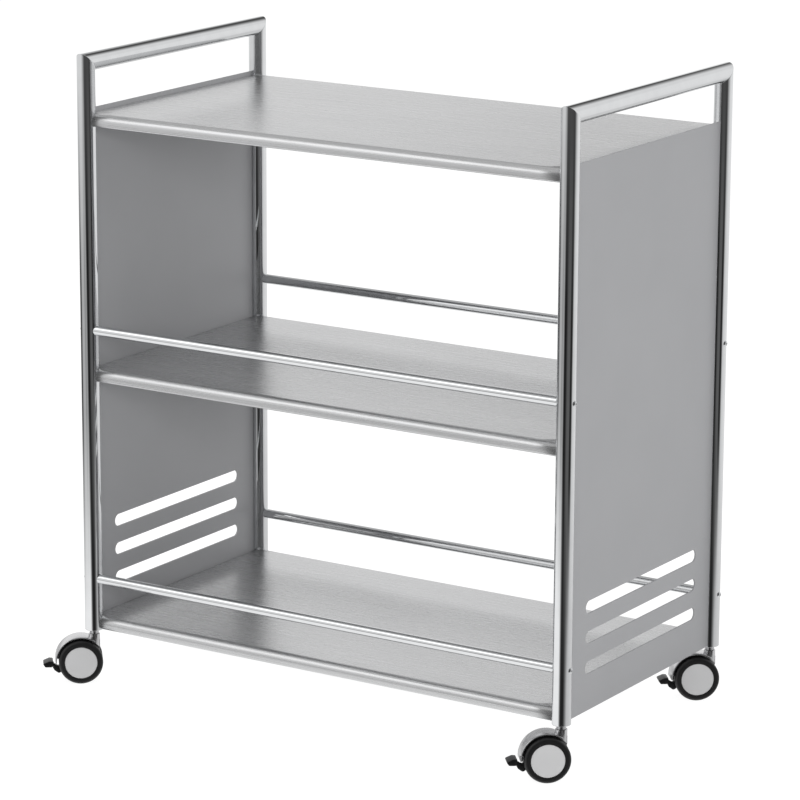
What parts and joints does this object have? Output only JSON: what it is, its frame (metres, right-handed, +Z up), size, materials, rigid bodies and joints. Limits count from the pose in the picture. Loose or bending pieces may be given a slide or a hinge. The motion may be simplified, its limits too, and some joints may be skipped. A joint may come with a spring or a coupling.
{
  "type": "hostess trolley",
  "caption": "Hostess trolley: mitred chrome tube end frames, slotted side panels, brushed shelves with guard rails, braked twin-wheel castors.",
  "frame": {"origin": "on the floor, under the middle of the whole trolley's box as it stands with its castors trailing", "axes": "+X along the trolley to its right-hand end, +Y from front to back, +Z up"},
  "size_m": [0.7312, 0.4201, 0.7745],
  "materials": {
    "tube_chrome": "polished chrome plate",
    "screw_plate": "plated steel",
    "shelf_steel": "fine brushing along the shelf",
    "panel_coat": "satin silver-grey coat",
    "castor_silver": "satin silver",
    "disc_silver": "satin silver moulding",
    "tyre_black": "smooth black tread",
    "lever_black": "fine moulded grain",
    "socket_black": "plain moulding",
    "pin_steel": "turned steel"
  },
  "bodies": {
    "frame": {"post_front_left": "tube_chrome", "post_front_right": "tube_chrome", "post_rear_left": "tube_chrome", "post_rear_right": "tube_chrome", "handle_left": "tube_chrome", "handle_right": "tube_chrome", "panel_left": "panel_coat", "panel_right": "panel_coat", "rail_screws_left": "screw_plate", "rail_screws_right": "screw_plate", "shelf_top": "shelf_steel", "shelf_middle": "shelf_steel", "shelf_lower": "shelf_steel", "rail_front_middle": "tube_chrome", "rail_rear_middle": "tube_chrome", "rail_front_lower": "tube_chrome", "rail_rear_lower": "tube_chrome", "rail_inserts": "pin_steel", "socket_front_left": "socket_black", "socket_front_right": "socket_black", "socket_rear_left": "socket_black", "socket_rear_right": "socket_black", "stem_front_left": "pin_steel", "stem_front_right": "pin_steel", "stem_rear_left": "pin_steel", "stem_rear_right": "pin_steel"},
    "castor_front_left": {"housing_front_left": "castor_silver", "axle_front_left": "pin_steel", "lever_pin_front_left": "pin_steel"},
    "roller_front_left_a": {"wheel_front_left_a": "disc_silver", "tyre_front_left_a": "tyre_black"},
    "roller_front_left_b": {"wheel_front_left_b": "disc_silver", "tyre_front_left_b": "tyre_black"},
    "brake_front_left": {"lever_front_left": "lever_black"},
    "castor_front_right": {"housing_front_right": "castor_silver", "axle_front_right": "pin_steel", "lever_pin_front_right": "pin_steel"},
    "roller_front_right_a": {"wheel_front_right_a": "disc_silver", "tyre_front_right_a": "tyre_black"},
    "roller_front_right_b": {"wheel_front_right_b": "disc_silver", "tyre_front_right_b": "tyre_black"},
    "brake_front_right": {"lever_front_right": "lever_black"},
    "castor_rear_left": {"housing_rear_left": "castor_silver", "axle_rear_left": "pin_steel", "lever_pin_rear_left": "pin_steel"},
    "roller_rear_left_a": {"wheel_rear_left_a": "disc_silver", "tyre_rear_left_a": "tyre_black"},
    "roller_rear_left_b": {"wheel_rear_left_b": "disc_silver", "tyre_rear_left_b": "tyre_black"},
    "brake_rear_left": {"lever_rear_left": "lever_black"},
    "castor_rear_right": {"housing_rear_right": "castor_silver", "axle_rear_right": "pin_steel", "lever_pin_rear_right": "pin_steel"},
    "roller_rear_right_a": {"wheel_rear_right_a": "disc_silver", "tyre_rear_right_a": "tyre_black"},
    "roller_rear_right_b": {"wheel_rear_right_b": "disc_silver", "tyre_rear_right_b": "tyre_black"},
    "brake_rear_right": {"lever_rear_right": "lever_black"}
  },
  "joints": [
    {"name": "swivel_front_left", "type": "hinge", "parent": "frame", "child": "castor_front_left", "pos_m": [-0.31212, -0.16479, 0.057], "axis": [0, 0, 1], "continuous": true},
    {"name": "roll_front_left_a", "type": "hinge", "parent": "castor_front_left", "child": "roller_front_left_a", "pos_m": [-0.32533, -0.17549, 0.027], "axis": [0.6293, -0.7771, 0], "continuous": true},
    {"name": "roll_front_left_b", "type": "hinge", "parent": "castor_front_left", "child": "roller_front_left_b", "pos_m": [-0.32533, -0.17549, 0.027], "axis": [0.6293, -0.7771, 0], "continuous": true},
    {"name": "press_front_left", "type": "hinge", "parent": "castor_front_left", "child": "brake_front_left", "pos_m": [-0.3366, -0.18462, 0.021], "axis": [0.6293, -0.7771, 0], "range_deg": [0, 15]},
    {"name": "swivel_front_right", "type": "hinge", "parent": "frame", "child": "castor_front_right", "pos_m": [0.34788, -0.16479, 0.057], "axis": [0, 0, 1], "continuous": true},
    {"name": "roll_front_right_a", "type": "hinge", "parent": "castor_front_right", "child": "roller_front_right_a", "pos_m": [0.33467, -0.17549, 0.027], "axis": [0.6293, -0.7771, 0], "continuous": true},
    {"name": "roll_front_right_b", "type": "hinge", "parent": "castor_front_right", "child": "roller_front_right_b", "pos_m": [0.33467, -0.17549, 0.027], "axis": [0.6293, -0.7771, 0], "continuous": true},
    {"name": "press_front_right", "type": "hinge", "parent": "castor_front_right", "child": "brake_front_right", "pos_m": [0.3234, -0.18462, 0.021], "axis": [0.6293, -0.7771, 0], "range_deg": [0, 15]},
    {"name": "swivel_rear_left", "type": "hinge", "parent": "frame", "child": "castor_rear_left", "pos_m": [-0.31212, 0.19121, 0.057], "axis": [0, 0, 1], "continuous": true},
    {"name": "roll_rear_left_a", "type": "hinge", "parent": "castor_rear_left", "child": "roller_rear_left_a", "pos_m": [-0.32533, 0.18051, 0.027], "axis": [0.6293, -0.7771, 0], "continuous": true},
    {"name": "roll_rear_left_b", "type": "hinge", "parent": "castor_rear_left", "child": "roller_rear_left_b", "pos_m": [-0.32533, 0.18051, 0.027], "axis": [0.6293, -0.7771, 0], "continuous": true},
    {"name": "press_rear_left", "type": "hinge", "parent": "castor_rear_left", "child": "brake_rear_left", "pos_m": [-0.3366, 0.17138, 0.021], "axis": [0.6293, -0.7771, 0], "range_deg": [0, 15]},
    {"name": "swivel_rear_right", "type": "hinge", "parent": "frame", "child": "castor_rear_right", "pos_m": [0.34788, 0.19121, 0.057], "axis": [0, 0, 1], "continuous": true},
    {"name": "roll_rear_right_a", "type": "hinge", "parent": "castor_rear_right", "child": "roller_rear_right_a", "pos_m": [0.33467, 0.18051, 0.027], "axis": [0.6293, -0.7771, 0], "continuous": true},
    {"name": "roll_rear_right_b", "type": "hinge", "parent": "castor_rear_right", "child": "roller_rear_right_b", "pos_m": [0.33467, 0.18051, 0.027], "axis": [0.6293, -0.7771, 0], "continuous": true},
    {"name": "press_rear_right", "type": "hinge", "parent": "castor_rear_right", "child": "brake_rear_right", "pos_m": [0.3234, 0.17138, 0.021], "axis": [0.6293, -0.7771, 0], "range_deg": [0, 15]}
  ]
}
